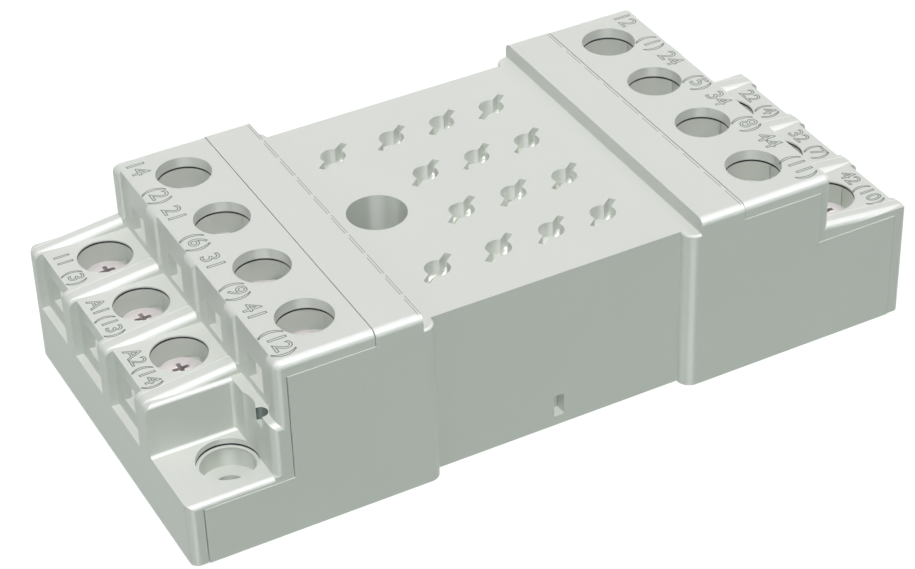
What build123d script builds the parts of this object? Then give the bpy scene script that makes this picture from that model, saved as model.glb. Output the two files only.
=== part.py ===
from build123d import *
import os

# Fourteen-pole plug-in relay socket for panel mounting, in millimetres.
# Origin at the middle of the underside, +X along the socket, +Z up.
# "u" is measured from an end face towards the middle, for either end.

# Overall form
plateau_length = 29.4
deck_top = 14.1
step_height = 7.4
ridge_height = 1.8
pocket_floor = 7.7
middle_inset = 1.6
edge_round = 0.9
ear_round = 1.5
ear_edge = 0.3

# Terminals, across the socket
pitch = 10.0
rib_width = 2.4
outer_wall = 2.2
screw_hole_radius = 3.05
lower_niche = 0.9
upper_niche = 0.45
sill_height = 7.15
entry_width = 3.4
entry_height = 3.2
lower_entry_drop = 0.15
upper_entry_drop = 0.55
partition_rise = 1.25
partition_round = 0.8
post_edge = 0.35

# Walls of an end, in order from its end face inwards
cover_end = 1.77
sill_wall = 1.23
well_clearance = 0.45
step_wall = 0.1
riser_wall = 1.35
inner_wall = 1.2
cover_lap = 1.25
cross_wall = 1.6
ridge_width = 5.3
ear_length = 1.7

# Mounting pocket and hole
mount_from_step = 3.7
mount_from_side = 5.3
mount_radius = 1.7
mount_head_radius = 3.3
mount_seat = 4.15
pocket_to_step = 0.8
pocket_ledge = 0.5
pocket_round = 0.4
pocket_edge = 0.6
ledge_round = 0.45
nick_radius = 0.8
nick_from_wall = 0.15
nick_from_side = 3.0
nick_depth = 1.5

# Seam and skins of the terminal covers
seam = 0.1
cover_narrower = 0.1
lower_skin = 0.8
pocket_skin = 0.75
upper_skin = 1.8
lower_rim_skin = 0.4
upper_rim_skin = 1.45

# Housing walls
side_wall = 1.7
plateau_skin = 1.8
guide_floor_gap = 0.1
guide_wall = 1.3

# Relay pins and guide hole, in plan
pin_columns = (-10.2, -3.0, 3.3, 9.6)
outer_row = 12.2
inner_row = 4.1
key_radius = 1.4
key_length = 5.5
key_width = 0.8
key_angle = 38.0
guide_x = -11.0
guide_radius = 3.3

# Base plate
base_thickness = 2.0
base_gap = 0.15
tower_gap = 0.2
slot_gap = 0.3
collar_gap = 0.3
shank_end_gap = 0.6

# Terminal screws
shank_radius = 1.5
head_radius = 2.6
head_rim = 1.1
crown_radius = 1.7
crown_height = 0.7
recess_span = 3.0
recess_width = 0.75
recess_depth = 1.1
fit_gap = 0.05
lower_rim_depth = 2.6
upper_rim_depth = 3.75
screw_over_strip = 0.95

# Wire clamps
clamp_length = 6.4
clamp_side_gap = 0.15
clamp_thickness = 1.0
clamp_lip = 0.65
clamp_lip_depth = 0.6
clamp_lip_inset = 0.8
clamp_corner = 0.6
clamp_hole_gap = 0.15

# Contact strips
strip_thickness = 0.8
strip_width = 2.0
pad_length = 6.2
pad_width = 5.6
collar_radius = 2.2
collar_depth = 1.2
fork_length = 11.0
fork_leaf = 0.5
fork_mouth = 0.6
fork_width = 5.4
fork_rest_width = 2.4
fork_clear = 0.3
outer_lane = 3.6
inner_lane = 3.9
lane_start = 1.8
lane_bend = 1.5
near_bend = 2.0
near_shift = 1.2
pin_lead = 3.0
corner_lead = 4.0

# Snap windows and hooks in the long sides
window_width = 1.2
window_bottom = 1.2
window_height = 2.7
hook_width = 1.0
hook_thickness = 0.9
hook_reach = 0.55
hook_gap = 0.1

# Places along an end
well_half = clamp_length / 2 + well_clearance
lower_well_start = cover_end + sill_wall
lower_row_u = lower_well_start + well_half
lower_well_end = lower_row_u + well_half
step_u = lower_well_end + step_wall
cover_step = step_u + riser_wall
upper_well_start = cover_step + inner_wall
upper_row_u = upper_well_start + well_half
upper_well_end = upper_row_u + well_half
cavity_start = upper_well_end + cross_wall
cover_split = upper_well_end + cover_lap
ridge_u = cover_split + ridge_width
block_u = ridge_u + ear_length
half_length = block_u + plateau_length / 2
mount_u = step_u - mount_from_step
pocket_wall_u = step_u - pocket_to_step
nick_u = pocket_wall_u + nick_from_wall

# Places across the socket
cell = pitch - rib_width
half_width = 2 * pitch - rib_width / 2 + outer_wall
middle_half = half_width - middle_inset
cover_half = half_width - cover_narrower
cavity_half = middle_half - side_wall
pocket_side_y = pitch + rib_width / 2
pocket_back_y = pocket_side_y + pocket_ledge
mount_y = half_width - mount_from_side
nick_y = half_width - nick_from_side
column_ys = (1.5 * pitch, 0.5 * pitch, -0.5 * pitch, -1.5 * pitch)
lower_ys = column_ys[:3]
clamp_width = cell - 2 * clamp_side_gap

# Levels
block_top = deck_top + step_height
plateau_top = block_top - ridge_height
ceiling = plateau_top - plateau_skin
lower_rim_top = deck_top - lower_rim_depth
upper_rim_top = block_top - upper_rim_depth
lower_clamp_top = lower_rim_top - head_rim - fit_gap
upper_clamp_top = upper_rim_top - head_rim - fit_gap
lower_pad_top = lower_clamp_top - clamp_thickness - fit_gap
upper_pad_top = upper_clamp_top - clamp_thickness - fit_gap
shank_length = upper_rim_top - head_rim - lower_pad_top - screw_over_strip
lower_entry_floor = lower_pad_top - lower_entry_drop
upper_entry_floor = upper_pad_top - upper_entry_drop
lower_core_top = deck_top - lower_skin
pocket_core_top = pocket_floor - pocket_skin
upper_core_top = block_top - upper_skin
fork_top = ceiling - fork_clear
fork_bottom = fork_top - fork_length
slot_half = strip_width / 2 + slot_gap
collar_room = collar_radius + collar_gap


def span(x0, x1, y0, y1, z0, z1):
    """A box given by its two limits along each axis."""
    size = (x1 - x0, y1 - y0, z1 - z0)
    middle = ((x0 + x1) / 2, (y0 + y1) / 2, (z0 + z1) / 2)
    return Pos(*middle) * Box(*size)


def post(radius, x, y, z0, z1):
    """A vertical cylinder between two heights."""
    return Pos(x, y, (z0 + z1) / 2) * Cylinder(radius, z1 - z0)


def at_end(shape, side):
    """Move a shape drawn in (u, y, z) to the left (-1) or right (+1) end."""
    placed = Pos(-half_length, 0, 0) * shape
    return placed if side < 0 else placed.rotate(Axis.Z, 180)


def partition(y0, y1):
    """A rib beside a lower terminal, rising towards the upper block."""
    root = step_u + edge_round
    low = deck_top - 2 * edge_round
    points = [(0, low), (0, deck_top), (root, deck_top + partition_rise), (root, low)]
    face = make_face(Plane.XZ * Polyline(*points, close=True))
    rib = Pos(0, (y0 + y1) / 2, 0) * extrude(face, (y1 - y0) / 2, both=True)
    front = rib.faces().sort_by(Axis.X)[0].edges().sort_by(Axis.Z)[-1:]
    rib = fillet(front, edge_round)
    slope = rib.faces().sort_by(Axis.Z)[-1]
    sides = slope.edges().sort_by(Axis.Y)
    return fillet([sides[0], sides[-1]], partition_round)


def cover_outside():
    """The outer form of one terminal cover, before it is hollowed."""
    plan = span(0, cover_step, -cover_half, cover_half, -1, block_top)
    plan = fillet(plan.edges().filter_by(Axis.Z).sort_by(Axis.X)[:2], edge_round)
    deck = span(0, cover_step, -cover_half, cover_half, 0, deck_top)
    rims = deck.faces().sort_by(Axis.Z)[-1].edges()
    deck = fillet(rims.sort_by(Axis.X)[:1] + rims.sort_by(Axis.Y)[:1], edge_round) & plan
    upper = span(step_u, cover_split - seam, -cover_half, cover_half, 0, block_top)
    uprights = upper.edges().filter_by(Axis.Z).sort_by(Axis.X)[:2]
    rims = upper.faces().sort_by(Axis.Z)[-1].edges()
    upper = fillet(uprights + rims.sort_by(Axis.X)[:1] + rims.filter_by(Axis.X), edge_round)
    body = deck + upper
    for y in (pitch, 0, -pitch):
        body += partition(y - rib_width / 2, y + rib_width / 2)
    return body + (partition(2 * pitch - rib_width / 2, cover_half) & plan)


def cover_core(gap):
    """The part of the housing that a terminal cover rests on and fits over."""
    reach = half_width + 1
    back_y = -pocket_side_y
    lower = span(cover_end - gap, cover_step, back_y, reach, -1, lower_core_top)
    front = span(cover_end - gap, cover_step, -reach, back_y, -1, pocket_core_top)
    upper = span(cover_step - gap, cover_split + 1, -reach, reach, -1, upper_core_top)
    return lower + front + upper


def mounting_pocket():
    """The hollow over a mounting hole, with a scallop for the screw's head."""
    above = deck_top + edge_round
    hollow = span(-1, pocket_wall_u, -half_width - 1, -pocket_back_y, pocket_floor, above)
    inner = hollow.edges().filter_by(Axis.Z).sort_by(Axis.X)[-2:].sort_by(Axis.Y)[-1:]
    floor = hollow.faces().sort_by(Axis.Z)[0].edges().filter_by(Axis.X).sort_by(Axis.Y)[-1:]
    hollow = fillet(inner + floor, pocket_round)
    hollow += post(mount_head_radius, mount_u, -mount_y, 0, above)
    hollow += post(nick_radius, nick_u, -nick_y, deck_top - nick_depth, above)
    centre_u = pocket_wall_u + edge_round
    centre_y = edge_round - cover_half
    corner = span(pocket_wall_u, centre_u, -half_width, centre_y, pocket_floor, deck_top)
    hollow += corner - post(edge_round, centre_u, centre_y, 0, block_top)
    hollow += edge_strip(-cover_half, pocket_floor, pocket_edge)
    return hollow + edge_strip(-pocket_back_y, deck_top, ledge_round)


def edge_strip(edge_y, edge_z, radius):
    """What rounding takes off an edge that runs along the pocket and faces -Y."""
    centre_y = edge_y + radius
    centre_z = edge_z - radius
    strip = span(-1, pocket_wall_u, edge_y - radius, centre_y, centre_z, edge_z + radius)
    rod = Rot(0, 90, 0) * Cylinder(radius, 2 * step_u)
    return strip - Pos(0, centre_y, centre_z) * rod


def post_corner(y, side):
    """What rounding takes off the upright edge of a post that stands on one side of y."""
    centre_u = step_u + post_edge
    centre_y = y + side * post_edge
    corner = span(step_u, centre_u, min(y, centre_y), max(y, centre_y),
                  deck_top + partition_rise, block_top + 1)
    return corner - post(post_edge, centre_u, centre_y, 0, block_top + 2)


def terminal_openings(y, row_u, niche, wall_u, entry_floor):
    """A wire entry and a driver hole, as cut for one terminal."""
    entry = span(niche - 1, wall_u + 1, y - entry_width / 2, y + entry_width / 2,
                 entry_floor, entry_floor + entry_height)
    return entry + post(screw_hole_radius, row_u, y, entry_floor, block_top + 1)


def terminal_cover():
    """One moulded cover: decks, ribs, niches, wire entries and screw holes."""
    cover = cover_outside() - cover_core(seam) - mounting_pocket()
    for y in lower_ys:
        left, right = y - cell / 2, y + cell / 2
        cover -= span(-1, lower_niche, left, right, sill_height, block_top)
        cover -= span(cover_end, lower_well_end, left, right, lower_core_top - 1,
                      deck_top - lower_rim_skin)
        cover -= terminal_openings(y, lower_row_u, lower_niche, cover_end, lower_entry_floor)
    for y in column_ys:
        left, right = y - cell / 2, y + cell / 2
        cover -= span(step_u - 1, step_u + upper_niche, left, right, deck_top, block_top + 1)
        cover -= post_corner(left, -1) + post_corner(right, 1)
        cover -= span(cover_step, upper_well_end, left, right, upper_core_top - 1,
                      block_top - upper_rim_skin)
        cover -= terminal_openings(y, upper_row_u, step_u + upper_niche, cover_step,
                                   upper_entry_floor)
    return cover


def housing_end():
    """One end of the housing: the core under a cover, with its terminal wells."""
    core = cover_core(0) & span(0, cover_split, -half_width, half_width, 0, block_top)
    for y in lower_ys:
        left, right = y - cell / 2, y + cell / 2
        core -= span(lower_well_start, lower_well_end, left, right, -1, block_top)
        core -= span(0, lower_well_end, left, right, lower_pad_top - strip_thickness, deck_top)
    for y in column_ys:
        left, right = y - cell / 2, y + cell / 2
        core -= span(upper_well_start, upper_well_end, left, right, -1, block_top)
        core -= span(cover_step - 1, upper_well_end, left, right,
                     upper_pad_top - strip_thickness, block_top)
    core -= post(mount_head_radius, mount_u, -mount_y, mount_seat, block_top)
    return core - post(mount_radius, mount_u, -mount_y, -1, block_top)


def strip_slots():
    """The slots through both cross walls that the contact strips pass, open below."""
    slots = Part()
    for y in lower_ys:
        slots += span(lower_well_end - 1, upper_well_start + 1, y - slot_half, y + slot_half,
                      -1, lower_pad_top + slot_gap)
    for y in column_ys:
        slots += span(upper_well_end - 1, cavity_start + 1, y - slot_half, y + slot_half,
                      -1, upper_pad_top + slot_gap)
    return slots


def block_shell():
    """The inner part of an end block, with its ridge and rounded ears."""
    block = span(cover_split, block_u, -half_width, half_width, 0, plateau_top)
    corners = block.edges().filter_by(Axis.Z).sort_by(Axis.X)[-2:]
    block = fillet(corners, ear_round)
    rim = block.faces().sort_by(Axis.Z)[-1].edges().sort_by(Axis.X)[-3:]
    block = fillet(rim, ear_edge)
    ridge = span(cover_split, ridge_u, -half_width, half_width,
                 plateau_top - ridge_height, block_top)
    rims = ridge.faces().sort_by(Axis.Z)[-1].edges().filter_by(Axis.X)
    return block + fillet(rims, edge_round)


def pin_places():
    """Centres of the fourteen pins: two outer rows of four, two inner of three."""
    places = []
    for y in (outer_row, inner_row, -inner_row, -outer_row):
        columns = pin_columns if abs(y) == outer_row else pin_columns[1:]
        places += [(x, y) for x in columns]
    return places


def keyhole():
    """A round hole with a slanting slot across it, which takes one relay blade."""
    deep = 2 * plateau_skin + 1
    slot = Rot(0, 0, key_angle) * Box(key_length, key_width, deep)
    return Cylinder(key_radius, deep) + slot


def base_outline(gap, z0, z1, side):
    """Half of the base plate's outline, from the middle to one end."""
    near = cavity_half - gap
    far = half_width - side_wall - gap
    start = lower_well_start + gap
    plate = span(start, half_length, -near, near, z0, z1)
    plate += span(start, block_u - side_wall - gap, -far, far, z0, z1)
    corner = span(0, cover_step + gap, -half_width, gap - pocket_side_y, z0 - 1, z1 + 1)
    return at_end(plate - corner, side)


def housing():
    """The main moulding: plateau, ridges, end cores, wells and cavity."""
    middle = half_length - block_u + ear_round + 1
    body = span(-middle, middle, -middle_half, middle_half, 0, plateau_top)
    for side in (-1, 1):
        body += at_end(block_shell(), side) + at_end(housing_end(), side)
    inner = half_length - cavity_start
    body -= span(-inner, inner, -cavity_half, cavity_half, -1, ceiling)
    for side in (-1, 1):
        body -= at_end(strip_slots(), side) + base_outline(0, -1, base_thickness, side)
    body += post(guide_radius + guide_wall, guide_x, 0, base_thickness + guide_floor_gap,
                 plateau_top - plateau_skin / 2)
    body -= post(guide_radius, guide_x, 0, base_thickness, plateau_top + 1)
    for x, y in pin_places():
        body -= Pos(x, y, plateau_top) * keyhole()
    for side in (-1, 1):
        body -= span(-window_width / 2, window_width / 2,
                     side * middle_half - side_wall, side * middle_half + side_wall,
                     window_bottom, window_bottom + window_height)
    return body


def tower(row_u, y, pad_top):
    """A tower under a terminal pad, hollow for the screw and the strip's collar."""
    half = cell / 2 - tower_gap
    reach = well_half - tower_gap
    body = span(row_u - reach, row_u + reach, y - half, y + half, 0, pad_top - strip_thickness)
    floor = max(base_thickness, pad_top - shank_length - shank_end_gap)
    return body - post(collar_room, row_u, y, floor, block_top)


def base_plate():
    """The bottom moulding: plate, terminal towers, fork posts and snap hooks."""
    plate = base_outline(base_gap, 0, base_thickness, -1)
    plate += base_outline(base_gap, 0, base_thickness, 1)
    for side in (-1, 1):
        for y in lower_ys:
            plate += at_end(tower(lower_row_u, y, lower_pad_top), side)
        for y in column_ys:
            upper = tower(upper_row_u, y, upper_pad_top)
            upper -= span(cover_step, upper_well_end, y - slot_half, y + slot_half,
                          lower_pad_top - strip_thickness, block_top)
            plate += at_end(upper, side)
    for x, y in pin_places():
        rest = Pos(x, y, fork_bottom / 2) * Rot(0, 0, key_angle)
        plate += rest * Box(fork_rest_width, fork_rest_width, fork_bottom)
    for side in (-1, 1):
        inner = side * (cavity_half - base_gap)
        root = inner - side * hook_thickness
        nose = inner + side * hook_reach
        plate += span(-hook_width / 2, hook_width / 2, min(inner, root), max(inner, root),
                      0, window_bottom + window_height - hook_gap)
        plate += span(-hook_width / 2, hook_width / 2, min(root, nose), max(root, nose),
                      window_bottom + hook_gap, window_bottom + window_height - hook_gap)
    return plate


def terminal_screw(x, y, rim_top):
    """An M3 screw with a domed head and a cross recess; its thread is left plain."""
    under = rim_top - head_rim
    tip = under - shank_length
    crown = rim_top + crown_height
    profile = Polyline((0, tip), (shank_radius, tip), (shank_radius, under), (head_radius, under),
                       (head_radius, rim_top), (crown_radius, crown), (0, crown), close=True)
    screw = revolve(Plane.XZ * make_face(profile), Axis.Z)
    cross = Box(recess_span, recess_width, 2 * recess_depth)
    cross += Box(recess_width, recess_span, 2 * recess_depth)
    return Pos(x, y, 0) * (screw - Pos(0, 0, crown) * cross)


def clamp_plate(x, y, top):
    """A captive pressure plate with a turned-down lip on each side."""
    half = clamp_length / 2
    bottom = top - clamp_thickness
    plate = span(-half, half, -clamp_width / 2, clamp_width / 2, bottom, top)
    plate = chamfer(plate.edges().filter_by(Axis.Z), clamp_corner)
    for side in (-1, 1):
        outer = side * clamp_width / 2
        inner = outer - side * clamp_lip
        plate += span(clamp_lip_inset - half, half - clamp_lip_inset, min(outer, inner),
                      max(outer, inner), bottom - clamp_lip_depth, top)
    return Pos(x, y, 0) * (plate - Cylinder(shank_radius + clamp_hole_gap, 4 * block_top))


def route_face(points):
    """The plan of a strip: a band of constant width with mitred corners."""
    edge = offset(Polyline(*points), strip_width / 2, kind=Kind.INTERSECTION, side=Side.BOTH)
    return make_face(edge)


def contact_strip(points, pad_top):
    """A flat strip from a terminal pad to the fork that takes a relay pin."""
    floor = pad_top - strip_thickness
    x0, y0 = points[0]
    x1, y1 = points[-1]
    strip = Pos(0, 0, floor) * extrude(route_face(points), strip_thickness)
    strip += span(x0 - pad_length / 2, x0 + pad_length / 2, y0 - pad_width / 2,
                  y0 + pad_width / 2, floor, pad_top)
    strip += post(collar_radius, x0, y0, floor - collar_depth, floor)
    strip -= post(shank_radius + fit_gap, x0, y0, 0, pad_top + 1)
    reach = fork_mouth / 2 + fork_leaf
    fork = span(-fork_width / 2, fork_width / 2, -reach, reach, fork_bottom, fork_top)
    mouth = span(-fork_width / 2, fork_width / 2, -fork_mouth / 2, fork_mouth / 2,
                 fork_bottom + fork_leaf, fork_top + 1)
    turn = Pos(x1, y1, 0) * Rot(0, 0, key_angle)
    return strip + turn * fork - turn * mouth


def end_xy(side, u, y):
    """Plan position of a terminal, from its place along an end."""
    return (side * (half_length - u), y)


def strip_routes():
    """Each terminal's number with its line of points and its level."""
    far = outer_row + outer_lane
    mid = inner_row + inner_lane
    c0, c1, c2, c3 = pin_columns
    right = half_length - cavity_start - lane_start
    left = -right
    up, low = upper_pad_top, lower_pad_top
    lu, ll = upper_row_u, lower_row_u
    a, b, c, d = column_ys
    return [
        ("14", [end_xy(-1, lu, a), (left, a), (left + lane_bend, far), (c2, far),
                (c2, outer_row)], up),
        ("21", [end_xy(-1, lu, b), (left, b), (left + near_bend, b + near_shift),
                (c1, b + near_shift), (c1, inner_row)], up),
        ("31", [end_xy(-1, lu, c), (left, c), (left + near_bend, c - near_shift),
                (c1, c - near_shift), (c1, -inner_row)], up),
        ("41", [end_xy(-1, lu, d), (left, d), (left + lane_bend, -far), (c1, -far),
                (c1, -outer_row)], up),
        ("11", [end_xy(-1, ll, a), (left, a), (left + lane_bend, far), (c1, far),
                (c1, outer_row)], low),
        ("A1", [end_xy(-1, ll, b), (left, b), (c0 - corner_lead, outer_row),
                (c0, outer_row)], low),
        ("A2", [end_xy(-1, ll, c), (left, c), (c0 - corner_lead, -outer_row),
                (c0, -outer_row)], low),
        ("12", [end_xy(1, lu, a), (right, a), (c3 + pin_lead, outer_row), (c3, outer_row)], up),
        ("24", [end_xy(1, lu, b), (right, b), (right - pin_lead, mid), (c2, mid),
                (c2, inner_row)], up),
        ("34", [end_xy(1, lu, c), (right, c), (right - pin_lead, -mid), (c2, -mid),
                (c2, -inner_row)], up),
        ("44", [end_xy(1, lu, d), (right, d), (right - lane_bend, -far), (c2, -far),
                (c2, -outer_row)], up),
        ("22", [end_xy(1, ll, b), (right, b), (c3 + pin_lead, inner_row), (c3, inner_row)], low),
        ("32", [end_xy(1, ll, c), (right, c), (c3 + pin_lead, -inner_row), (c3, -inner_row)],
         low),
        ("42", [end_xy(1, ll, d), (right, d), (c3 + pin_lead, -outer_row), (c3, -outer_row)],
         low),
    ]


os.makedirs("parts", exist_ok=True)

cover = terminal_cover()
pieces = {
    "housing": housing(),
    "base_plate": base_plate(),
    "terminal_cover_left": at_end(cover, -1),
    "terminal_cover_right": at_end(cover, 1),
}
for number, points, pad_top in strip_routes():
    x, y = points[0]
    rim_top = upper_rim_top if pad_top == upper_pad_top else lower_rim_top
    clamp_top = rim_top - head_rim - fit_gap
    pieces["contact_strip_" + number] = contact_strip(points, pad_top)
    pieces["terminal_screw_" + number] = terminal_screw(x, y, rim_top)
    pieces["wire_clamp_" + number] = clamp_plate(x, y, clamp_top)

for name, solid in pieces.items():
    export_step(solid, "parts/" + name + ".step")
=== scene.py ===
import math

import bmesh
import bpy
from mathutils import Matrix, Vector


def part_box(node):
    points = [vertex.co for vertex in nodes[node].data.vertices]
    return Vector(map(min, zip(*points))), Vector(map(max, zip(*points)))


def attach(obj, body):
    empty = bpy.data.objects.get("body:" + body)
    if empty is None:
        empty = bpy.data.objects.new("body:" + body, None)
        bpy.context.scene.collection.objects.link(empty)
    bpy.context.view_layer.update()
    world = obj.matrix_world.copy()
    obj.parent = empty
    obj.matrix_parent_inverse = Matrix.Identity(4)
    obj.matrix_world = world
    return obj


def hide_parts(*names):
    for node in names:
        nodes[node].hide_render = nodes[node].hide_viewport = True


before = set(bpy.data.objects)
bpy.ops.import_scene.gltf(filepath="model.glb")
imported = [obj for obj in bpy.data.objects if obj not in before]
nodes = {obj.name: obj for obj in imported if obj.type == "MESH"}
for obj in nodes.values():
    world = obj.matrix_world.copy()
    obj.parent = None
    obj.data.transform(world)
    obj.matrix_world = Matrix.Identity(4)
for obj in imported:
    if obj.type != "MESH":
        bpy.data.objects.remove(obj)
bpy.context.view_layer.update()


# Housing and terminal covers: one glass-filled nylon, injection moulded in pale sage grey.
# The tool leaves a very fine matt grain, a little smoother where the melt flowed fast.
# The covers clip down over the end cores and show only a hairline seam.

class Signal:
    """One output socket in a node tree; arithmetic on it adds Math nodes."""

    def __init__(self, tree, socket):
        self.tree = tree
        self.socket = socket

    def maths(self, operation, first, second):
        return self.tree.node("ShaderNodeMath", {"operation": operation},
                              {0: first, 1: second})

    def __add__(self, other):
        return self.maths("ADD", self, other)

    def __radd__(self, other):
        return self.maths("ADD", other, self)

    def __sub__(self, other):
        return self.maths("SUBTRACT", self, other)

    def __rsub__(self, other):
        return self.maths("SUBTRACT", other, self)

    def __mul__(self, other):
        return self.maths("MULTIPLY", self, other)

    def __rmul__(self, other):
        return self.maths("MULTIPLY", other, self)

    def __lt__(self, other):
        return self.maths("LESS_THAN", self, other)

    def __gt__(self, other):
        return self.maths("GREATER_THAN", self, other)

    def __abs__(self):
        return self.maths("ABSOLUTE", self, 0)


class Tree:
    """A node tree, with one method that adds any node and sets its sockets."""

    def __init__(self, owner):
        owner.use_nodes = True
        self.tree = owner.node_tree
        self.tree.nodes.clear()

    def feed(self, node, sockets):
        for key, value in sockets.items():
            name = key.replace("_", " ") if isinstance(key, str) else key
            if isinstance(value, Signal):
                self.tree.links.new(value.socket, node.inputs[name])
            else:
                node.inputs[name].default_value = value

    def node(self, kind, settings, sockets, output=0):
        node = self.tree.nodes.new(kind)
        for key, value in settings.items():
            setattr(node, key, value)
        self.feed(node, sockets)
        return Signal(self, node.outputs[output]) if node.outputs else node

    def rays(self, *kinds):
        """1 for the rays of the named kinds, 0 for any other."""
        paths = [self.node("ShaderNodeLightPath", {}, {}, kind) for kind in kinds]
        return sum(paths[1:], paths[0])


class Finish(Tree):
    """A material on the Principled shader."""

    def __init__(self, name, **sockets):
        self.material = bpy.data.materials.new(name)
        super().__init__(self.material)
        self.shader = self.node("ShaderNodeBsdfPrincipled", {}, sockets)
        self.output = self.node("ShaderNodeOutputMaterial", {}, {"Surface": self.shader})

    def place(self, axis=None):
        """The point on the piece, or one of its coordinates in metres."""
        point = self.node("ShaderNodeTexCoord", {}, {}, "Object")
        if axis is None:
            return point
        return self.node("ShaderNodeSeparateXYZ", {}, {0: point}, axis)

    def noise(self, size, place=None):
        """Noise whose features are about this many metres wide, from 0 to 1."""
        vector = self.place() if place is None else place
        return self.node("ShaderNodeTexNoise", {},
                         {"Vector": vector, "Scale": 1 / size, "Detail": 2.0}, "Fac")

    def blend(self, factor, first, second):
        return self.node("ShaderNodeMix", {"data_type": "RGBA"},
                         {0: factor, 6: first, 7: second}, 2)

    def surface(self, colour, roughness, height, depth):
        """Feeds the shader; the grain stands up to this many metres deep."""
        bump = self.node("ShaderNodeBump", {},
                         {"Height": height, "Distance": depth, "Strength": 0.5})
        self.feed(self.shader.socket.node,
                  {"Base_Color": colour, "Roughness": roughness, "Normal": bump})


def dress(names, finish):
    """Gives CAD nodes a finish in place of the flat colour they were packed with."""
    for name in names:
        nodes[name].data.materials.clear()
        nodes[name].data.materials.append(finish.material)


upper_top, deck_top, pocket_floor = 0.0215, 0.0141, 0.0077
upper_skin, deck_skin, pocket_skin = 0.00145, 0.0004, 0.00075
well_radius, well_pitch, well_band = 0.00305, 0.010, 0.015
line_height = 0.00023


def under_skin(finish, screw, top, skin):
    """1 on a near-black line of painted shade round a row of driver wells where the cover's
    skin ends.
    """
    low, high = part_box(screw)
    x, y, z = (finish.place(axis) for axis in "XYZ")
    across = abs(abs(y) - well_pitch) - well_pitch / 2
    along = abs(x) - abs(low[0] + high[0]) / 2
    from_axis = across * across + along * along
    wall = ((from_axis > (well_radius * (1 - well_band)) ** 2)
            * (from_axis < (well_radius * (1 + well_band)) ** 2))
    return wall * (abs(z - (top - skin)) < line_height)


edge_gain, edge_start = 3.6, 0.35


def painted_highlight_on_long_edge(finish):
    """Up to 1 on a rounding between a top and a long side, where the colour is lightened as a
    painted highlight.
    """
    normal = finish.node("ShaderNodeTexCoord", {}, {}, "Normal")
    sideways, upward = (finish.node("ShaderNodeSeparateXYZ", {}, {0: normal}, axis)
                        for axis in "YZ")
    return edge_gain * abs(sideways) * upward - edge_start


def in_corner(finish, x, y, radius):
    """1 inside a circle in each open corner of the socket, which lie half a turn apart."""
    along = finish.place("X")
    side = along.maths("SIGN", along, 0)
    from_x = abs(along) - x
    from_y = side * finish.place("Y") - y
    return from_x * from_x + from_y * from_y < radius ** 2


mount_x, mount_y, mount_head, mount_band = 0.0365, 0.0157, 0.0033, 0.02


def under_pocket(finish):
    """1 on the same line of painted shade in the two mounting holes."""
    height = finish.place("Z") - (pocket_floor - pocket_skin)
    return (in_corner(finish, mount_x, mount_y, mount_head * (1 + mount_band))
            * (abs(height) < line_height / 2))


nick_x, nick_y, nick_radius = 0.03345, 0.0180, 0.0008
nick_band, nick_depth = 0.04, 0.0015


def in_nick(finish):
    """1 on the wall of the small nick in each scallop, which lies in shade."""
    return (in_corner(finish, nick_x, nick_y, nick_radius * (1 + nick_band))
            * (finish.place("Z") > deck_top - nick_depth))


ridge_edge, seam_edge = -0.01645, 0.02141
ridge_shade_gap, seam_and_shade_width, seam_and_shade_depth = 0.00027, 0.00009, 0.0001
dashes_a_metre = 240
whole_dash, short_dash = 0.92, 0.8


def on_seam_or_ridge_shade(finish, x, drawn):
    """1 on a fine dashed line across the upper tops, drawn for this share of each dash; it
    draws both a real seam and painted shade at the ridge's edge.
    """
    place = finish.place("Y")
    dashes = place.maths("FRACT", place * dashes_a_metre, 0) < drawn
    return (dashes * (abs(finish.place("X") - x) < seam_and_shade_width / 2)
            * (finish.place("Z") > upper_top - seam_and_shade_depth))


deep_sage, light_sage = (0.700, 0.724, 0.686, 1), (0.756, 0.774, 0.736, 1)
painted_edge_highlight, seam_and_ridge_shade_grey = (0.97, 0.98, 0.96, 1), (0.34, 0.37, 0.33, 1)
nick_shade, painted_rim_shade_colour = (0.13, 0.17, 0.155, 1), (0.01, 0.014, 0.012, 1)
pocket_column = 0.0003  # X times Y, in square metres, of a corner that has a pocket and no well
moulding = Finish("moulding", Metallic=0.0, IOR=1.5, Specular_IOR_Level=0.3)
grain = moulding.noise(size=0.00022)
flow = moulding.noise(size=0.012)
has_well = moulding.place("X") * moulding.place("Y") < pocket_column
# Painted shade: a near-black line under the cover's skin in the wells and the mounting holes.
painted_rim_shade = (under_skin(moulding, "terminal_screw_14", upper_top, upper_skin)
       + under_skin(moulding, "terminal_screw_11", deck_top, deck_skin) * has_well
       + under_pocket(moulding))
# The two dashed lines at the ridge's edge are painted shade where the ridge drops to the
# plateau; the third is the right cover's real seam.
seam_and_ridge_shade = (on_seam_or_ridge_shade(moulding, ridge_edge, whole_dash)
           + on_seam_or_ridge_shade(moulding, ridge_edge - ridge_shade_gap, short_dash)
           + on_seam_or_ridge_shade(moulding, seam_edge, short_dash))
sage = moulding.blend(grain * 0.5 + flow * 0.5, deep_sage, light_sage)
# Painted highlight: roundings between the tops and the long sides are blended towards near
# white.
sage = moulding.blend(painted_highlight_on_long_edge(moulding), sage, painted_edge_highlight)
sage = moulding.blend(seam_and_ridge_shade, sage, seam_and_ridge_shade_grey)
sage = moulding.blend(in_nick(moulding), sage, nick_shade)
sage = moulding.blend(painted_rim_shade, sage, painted_rim_shade_colour)
moulding.surface(sage, 0.27 + 0.10 * grain, grain, depth=0.000006)
dress(["housing", "terminal_cover_left", "terminal_cover_right"], moulding)


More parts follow.
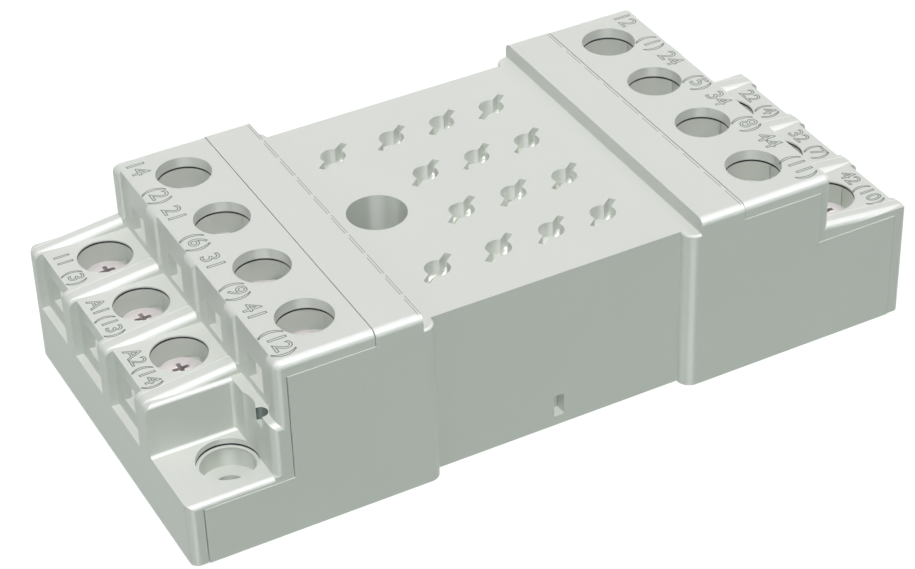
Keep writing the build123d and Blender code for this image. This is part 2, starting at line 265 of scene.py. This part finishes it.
# Mounting ledges: a narrow step moulded in each mounting hole, just under the pocket's floor.
# It stops the screw's head from being pulled through the skin of the cover.
ledge_width, ledge_height, ledge_steps = 0.00036, 0.0003, 48
wall_gap, line_gap = 0.00002, 0.00004
outer, inner = mount_head - wall_gap, mount_head - ledge_width
ledge_top = pocket_floor - pocket_skin - line_height / 2 - line_gap
points, faces = [], []
for side in (-1, 1):
    start = len(points)
    for i in range(ledge_steps):
        turn = math.tau * i / ledge_steps
        for radius, drop in ((outer, 0), (inner, 0), (inner, ledge_height),
                             (outer, ledge_height)):
            points.append((side * mount_x + radius * math.cos(turn),
                           side * mount_y + radius * math.sin(turn), ledge_top - drop))
    for i in range(ledge_steps):
        here, there = start + 4 * i, start + 4 * ((i + 1) % ledge_steps)
        for k in range(4):
            after = (k + 1) % 4
            faces.append((here + k, there + k, there + after, here + after))
mesh = bpy.data.meshes.new("mounting_ledges")
mesh.from_pydata(points, [], faces)
mesh.materials.append(moulding.material)
ledges = bpy.data.objects.new("mounting_ledges", mesh)
bpy.context.collection.objects.link(ledges)
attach(ledges, "socket")


# Base plate: the same nylon, a shade duller, moulded flat with its towers and hooks.
# It is pressed up into the housing from below and its hooks snap into the side windows.
base = Finish("base", Metallic=0.0, IOR=1.5, Specular_IOR_Level=0.3)
grain = base.noise(size=0.00028)
base.surface(base.blend(grain, (0.600, 0.630, 0.575, 1), (0.680, 0.706, 0.650, 1)),
             0.36 + 0.10 * grain, grain, depth=0.000008)
dress(["base_plate"], base)


# Contact strips: tinned brass, stamped and bent, each with a fork for one relay blade.
# The tin is bright with faint rolling lines, and shows through the keyholes.
strips = [name for name in nodes if name.startswith("contact_strip_")]
terminals = [name[len("contact_strip_"):] for name in strips]
along_the_roll = (0.15, 1, 1)
contact = Finish("contact_metal", Metallic=0.3)
stretched = contact.node("ShaderNodeMapping", {},
                         {"Vector": contact.place(), "Scale": along_the_roll})
rolling = contact.noise(size=0.0002, place=stretched)
contact.surface(contact.blend(rolling, (0.92, 0.92, 0.90, 1), (0.98, 0.98, 0.96, 1)),
                0.30 + 0.16 * rolling, rolling, depth=0.000004)
dress(strips, contact)


# Wire clamps: small steel pressure plates, zinc plated, with a lip turned down on each side.
# Each is held captive under its screw's head and rises with it to let a wire in.
clamp = Finish("clamp_steel", Metallic=1.0)
plating = clamp.noise(size=0.0003)
clamp.surface(clamp.blend(plating, (0.70, 0.70, 0.69, 1), (0.82, 0.81, 0.80, 1)),
              0.30 + 0.18 * plating, plating, depth=0.000006)
dress(["wire_clamp_" + number for number in terminals], clamp)


# Terminal screws: M3 steel screws with a domed head and a cross recess, bright zinc plated.
# The head is cold formed, the recess is punched and the thread rolled, 0.5 mm a turn.
# Each mesh stands in for the plainer solid screw and turns with it.
head_radius, head_rim, crown = 0.0026, 0.0011, 0.0007
head_break, crown_flat, crease = 0.0001, 0.00002, math.radians(32)
dome_degrees = (6, 18, 32, 46, 60, 74)
recess_span, recess_width, recess_depth = 0.0019, 0.00048, 0.0008
recess_floor = head_rim + crown - recess_depth
recess_bottom = (recess_span * 0.62, recess_width * 0.80, recess_floor)
recess_mouth = (recess_span * 1.12, recess_width * 1.06, head_rim + crown + 0.0002)
shank_radius, root_radius, thread_pitch = 0.00149, 0.00122, 0.0005
thread_section = ((root_radius, 0.0), (root_radius, 0.00008), (shank_radius, 0.00024),
                  (shank_radius, 0.0003))
core_radius, core_start = root_radius * 0.999, 0.0003
floor_slack, dome_slack = 0.00001, 0.00006
weld_distance = 1e-8
around, steps = 40, 24  # the corners of a ring, and the rows in one turn of the thread


def ring(work, radius, height):
    return [work.verts.new((radius * math.cos(math.tau * i / around),
                            radius * math.sin(math.tau * i / around), height))
            for i in range(around)]


def join_rings(work, low, high):
    for i in range(around):
        j = (i + 1) % around
        work.faces.new((low[i], low[j], high[j], high[i]))


def head_mesh():
    """The head alone, from its underside at 0 to its crown, before the recess."""
    work = bmesh.new()
    profile = [(head_radius - head_break, 0), (head_radius, head_break),
               (head_radius, head_rim - head_break)]
    for degrees in dome_degrees:
        rise = math.radians(degrees)
        profile.append((head_radius * math.cos(rise),
                        head_rim + (crown - crown_flat) * math.sin(rise)))
    rings = [ring(work, radius, height) for radius, height in profile]
    for low, high in zip(rings, rings[1:]):
        join_rings(work, low, high)
    work.faces.new(list(reversed(rings[0])))
    work.faces.new(rings[-1])
    mesh = bpy.data.meshes.new("screw_head")
    work.to_mesh(mesh)
    work.free()
    return mesh


def recess_arm(turn):
    """One arm of the cross, narrowing towards its bottom."""
    work = bmesh.new()
    bmesh.ops.create_cube(work, size=1)
    for vert in work.verts:
        span, width, height = recess_bottom if vert.co.z < 0 else recess_mouth
        vert.co = (vert.co.x * span, vert.co.y * width, height)
    bmesh.ops.rotate(work, verts=work.verts, matrix=Matrix.Rotation(turn, 3, "Z"))
    mesh = bpy.data.meshes.new("recess_arm")
    work.to_mesh(mesh)
    work.free()
    return bpy.data.objects.new("recess_arm", mesh)


def thread(work, length):
    """A rolled thread on a plain core, from the tip up to the head's underside."""
    count = int((length - thread_pitch) / thread_pitch * steps)
    rows = []
    for k in range(count + steps + 1):
        turn = math.tau * k / steps
        start = -length + thread_pitch * k / steps
        rows.append([work.verts.new((radius * math.cos(turn), radius * math.sin(turn),
                                     min(0, max(-length, start + rise - thread_pitch))))
                     for radius, rise in thread_section])
    for k in range(count):
        here = rows[k] + [rows[k + steps][0]]
        there = rows[k + 1] + [rows[k + steps + 1][0]]
        for i in range(len(thread_section)):
            work.faces.new((here[i], there[i], there[i + 1], here[i + 1]))
    work.faces.new([row[0] for row in reversed(rows[:steps])])
    work.faces.new(rows[count] + [rows[count + steps][0]])
    middle = work.verts.new((0, 0, -1.5 * thread_pitch))
    for low, high in zip(rows[count:count + steps], rows[count + 1:]):
        work.faces.new((low[0], high[0], middle))
    work.faces.new((rows[count + steps][0], rows[count][0], middle))
    low, high = ring(work, core_radius, -length + core_start), ring(work, core_radius, 0)
    join_rings(work, low, high)
    work.faces.new(list(reversed(low)))
    work.faces.new(high)


def screw_mesh(length):
    """Head, recess and thread in one mesh, its underside at height 0."""
    head = bpy.data.objects.new("screw_head", head_mesh())
    bpy.context.collection.objects.link(head)
    arms = [recess_arm(0), recess_arm(math.pi / 2)]
    for arm in arms:
        bpy.context.collection.objects.link(arm)
        cut = head.modifiers.new("recess", "BOOLEAN")
        cut.operation, cut.solver, cut.object = "DIFFERENCE", "EXACT", arm
    depsgraph = bpy.context.evaluated_depsgraph_get()
    work = bmesh.new()
    work.from_mesh(head.evaluated_get(depsgraph).to_mesh())
    for piece in [head] + arms:
        bpy.data.objects.remove(piece)
    thread(work, length)
    bmesh.ops.remove_doubles(work, verts=work.verts, dist=weld_distance)
    # Faces inside the cross recess take the second material, a darker copy of the zinc painted
    # as shade.
    for face in work.faces:
        middle = face.calc_center_median()
        out = middle.xy.length
        dome = head_rim + crown * math.sqrt(max(0, 1 - (out / head_radius) ** 2))
        sunk = recess_floor - floor_slack < middle.z < dome - dome_slack
        if sunk and out < recess_mouth[0] / 2:
            face.material_index = 1
    mesh = bpy.data.meshes.new("screw")
    work.to_mesh(mesh)
    work.free()
    mesh.shade_smooth()
    return mesh


zinc = Finish("screw_steel", Metallic=0.35)
plating = zinc.noise(size=0.00025)
zinc.surface(zinc.blend(plating, (0.89, 0.84, 0.85, 1), (0.94, 0.89, 0.90, 1)),
             0.28 + 0.12 * plating, plating, depth=0.000004)
# Painted shade: the recess is the same zinc, darkened for the shadow inside it.
painted_recess_shade = Finish("recess_steel_painted_shade", Metallic=0.35)
plating = painted_recess_shade.noise(size=0.00025)
painted_recess_shade.surface(painted_recess_shade.blend(plating, (0.40, 0.36, 0.36, 1), (0.52, 0.47, 0.47, 1)),
                0.40 + 0.14 * plating, plating, depth=0.000004)
screws = []
for number in terminals:
    low, high = (Vector(corner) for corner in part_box("terminal_screw_" + number))
    under = high.z - crown - head_rim
    screw = bpy.data.objects.new("screw_" + number, screw_mesh(under - low.z))
    place = ((low.x + high.x) / 2, (low.y + high.y) / 2, under)
    screw.data.transform(Matrix.Translation(place))
    screw.data.materials.append(zinc.material)
    screw.data.materials.append(painted_recess_shade.material)
    bpy.context.collection.objects.link(screw)
    smooth = screw.modifiers.new("edges", "EDGE_SPLIT")
    smooth.split_angle = crease
    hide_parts("terminal_screw_" + number)
    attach(screw, "screw_" + number)
    screws.append(screw)


# Terminal numbers: fine outlines on the tops beside the wells, one line for each terminal.
# They run towards -Y with their heads towards +X, the contact's number first and
# its place in the row of pins after it in brackets.
line_width, line_flatness = 0.00011, 0.15
capital = 0.73  # a capital letter's height, as a share of the font's size
# Each row's height, place along the end, letter height, and where the two words start in Y.
upper_row = (upper_top, 0.0307, 0.0021, 0.0033, -0.0027)
deck_row = (deck_top, 0.0408, 0.0018, 0.0017, -0.0021)
labels = {"14": "2", "21": "6", "31": "9", "41": "12", "11": "3", "A1": "13", "A2": "14",
          "12": "1", "24": "5", "34": "8", "44": "11", "22": "4", "32": "7", "42": "10"}


def outline(work, words, height, x, y, z):
    """Adds a word to the mesh as flat outlines around its middle."""
    curve = bpy.data.curves.new(words, "FONT")
    curve.body = words
    curve.size = height / capital
    curve.align_x, curve.align_y = "CENTER", "CENTER"
    curve.fill_mode = "NONE"
    curve.resolution_u = 3
    curve.bevel_depth = line_width / 2
    curve.bevel_resolution = 0
    carrier = bpy.data.objects.new(words, curve)
    bpy.context.collection.objects.link(carrier)
    depsgraph = bpy.context.evaluated_depsgraph_get()
    mesh = bpy.data.meshes.new_from_object(carrier.evaluated_get(depsgraph))
    mesh.transform(Matrix.Translation((x, y, z)) @ Matrix.Rotation(-math.pi / 2, 4, "Z")
                   @ Matrix.Diagonal((1, 1, line_flatness, 1)))
    work.from_mesh(mesh)
    bpy.data.objects.remove(carrier)


print_ink = Finish("number_lines", Metallic=0.0)
grain = print_ink.noise(size=0.0003)
print_ink.surface(print_ink.blend(grain, (0.13, 0.17, 0.15, 1), (0.21, 0.25, 0.22, 1)),
                  0.45 + 0.1 * grain, grain, depth=0.000004)
for end, sign in (("left", -1), ("right", 1)):
    work = bmesh.new()
    for number, pin in labels.items():
        low, high = (Vector(corner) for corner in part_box("terminal_screw_" + number))
        x, y = (low.x + high.x) / 2, (low.y + high.y) / 2
        if x * sign < 0:
            continue
        top, along, height, number_y, pin_y = upper_row if high.z > deck_top else deck_row
        outline(work, number, height, sign * along, y + number_y, top)
        outline(work, "(" + pin + ")", height, sign * along, y + pin_y, top)
    mesh = bpy.data.meshes.new("numbers_" + end)
    work.to_mesh(mesh)
    work.free()
    mesh.materials.append(print_ink.material)
    numbers = bpy.data.objects.new("numbers_" + end, mesh)
    bpy.context.collection.objects.link(numbers)
    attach(numbers, "socket")


# Floor and background: a plain pale floor that runs out into a white room.
# Lifted for what the camera, a reflection or a refraction sees, it still takes the shadow.
reach, lifted = 4, 0.70
seen_directly = ("Is Camera Ray", "Is Glossy Ray", "Is Transmission Ray")
floor_mesh = bpy.data.meshes.new("floor")
floor_mesh.from_pydata([(-reach, -reach, 0), (reach, -reach, 0), (reach, reach, 0),
                        (-reach, reach, 0)], [], [(0, 1, 2, 3)])
floor = bpy.data.objects.new("floor", floor_mesh)
bpy.context.collection.objects.link(floor)
paper = Finish("floor_paper", Base_Color=(0.38, 0.415, 0.39, 1), Metallic=0.0, Roughness=0.9,
               Specular_IOR_Level=0.0)
lift = paper.node("ShaderNodeEmission", {}, {"Strength": paper.rays(*seen_directly) * lifted})
both = paper.node("ShaderNodeAddShader", {}, {0: paper.shader, 1: lift})
paper.feed(paper.output, {"Surface": both})
floor_mesh.materials.append(paper.material)

world = bpy.data.worlds.new("room")
bpy.context.scene.world = world
sky = Tree(world)
ambient = sky.node("ShaderNodeBackground", {},
                   {"Color": (0.95, 1.03, 0.98, 1), "Strength": 0.30})
white = sky.node("ShaderNodeBackground", {}, {"Color": (1, 1, 1, 1), "Strength": 1.0})
room = sky.node("ShaderNodeMixShader", {},
                {0: sky.rays(*seen_directly), 1: ambient, 2: white})
sky.node("ShaderNodeOutputWorld", {}, {"Surface": room})


# Lamps: a key from above the front, a soft fill from the left, a broad overhead
# and a weaker one that draws the shadow on the floor. The others are seen only in
# reflections, where they draw the bright lines along rounded edges, corners and bores.
def lamp(name, towards, strength, spread, colour, shadow):
    """A sun lamp, its spread in degrees; only one with a shadow darkens the floor."""
    light = bpy.data.lights.new(name, "SUN")
    light.energy = strength
    light.angle = math.radians(spread)
    light.color = colour
    light.use_shadow = shadow
    rig = bpy.data.objects.new(name, light)
    rig.rotation_mode = "QUATERNION"
    rig.rotation_quaternion = Vector(towards).to_track_quat("Z", "Y")
    bpy.context.collection.objects.link(rig)
    return rig


cool, warm, plain = (0.95, 1.04, 0.99), (1.06, 0.92, 1.00), (1, 1, 1)
lamp("key", (0.02, -0.45, 0.89), 0.85, 20, cool, False)
lamp("fill", (-0.80, -0.30, 0.50), 0.30, 40, cool, False)
lamp("overhead", (0, 0, 1), 0.66, 20, warm, False)
lamp("soft", (0.15, 0.10, 1.0), 0.45, 50, warm, True)


def shine(name, towards, strength, spread, receivers):
    """A light that only the named pieces show, and only as a reflection."""
    strip = lamp(name, towards, strength, spread, plain, False)
    strip.visible_diffuse = False
    strip.light_linking.receiver_collection = bpy.data.collections.new(name + "_on")
    for piece in receivers:
        strip.light_linking.receiver_collection.objects.link(piece)


mouldings = [nodes[name] for name in
             ("housing", "base_plate", "terminal_cover_left", "terminal_cover_right")]
shine("strip", (0.37, -0.57, 0.73), 5.0, 34, mouldings)
shine("low_strip", (-0.34, -0.74, -0.59), 3.0, 44, mouldings)
shine("side_strip", (-0.79, -0.02, -0.59), 1.6, 44, mouldings)
shine("screw_strip", (0.37, -0.10, 0.90), 1.5, 90, screws)
shine("contact_light", (0.79, 0.19, -0.59), 18.0, 70, [nodes[name] for name in strips])


# Camera: the photograph's own angle, from above the front left corner.
# Its lens, place and slight roll were worked out from the corners of the object.
camera_place = Vector((-0.109998, -0.210898, 0.178475))
camera_aim = Vector((0.370064, 0.720527, -0.586424))
camera_right = Vector((0.879940, -0.474290, -0.027462))
lens = bpy.data.cameras.new("camera")
lens.sensor_width = 36
lens.lens = 104.48
lens.clip_start = 0.01
camera = bpy.data.objects.new("camera", lens)
camera_up = camera_right.cross(camera_aim)
turn = Matrix((camera_right, camera_up, -camera_aim)).transposed()
camera.matrix_world = Matrix.Translation(camera_place) @ turn.to_4x4()
bpy.context.collection.objects.link(camera)
bpy.context.scene.camera = camera

bpy.context.scene.view_settings.view_transform = "Standard"
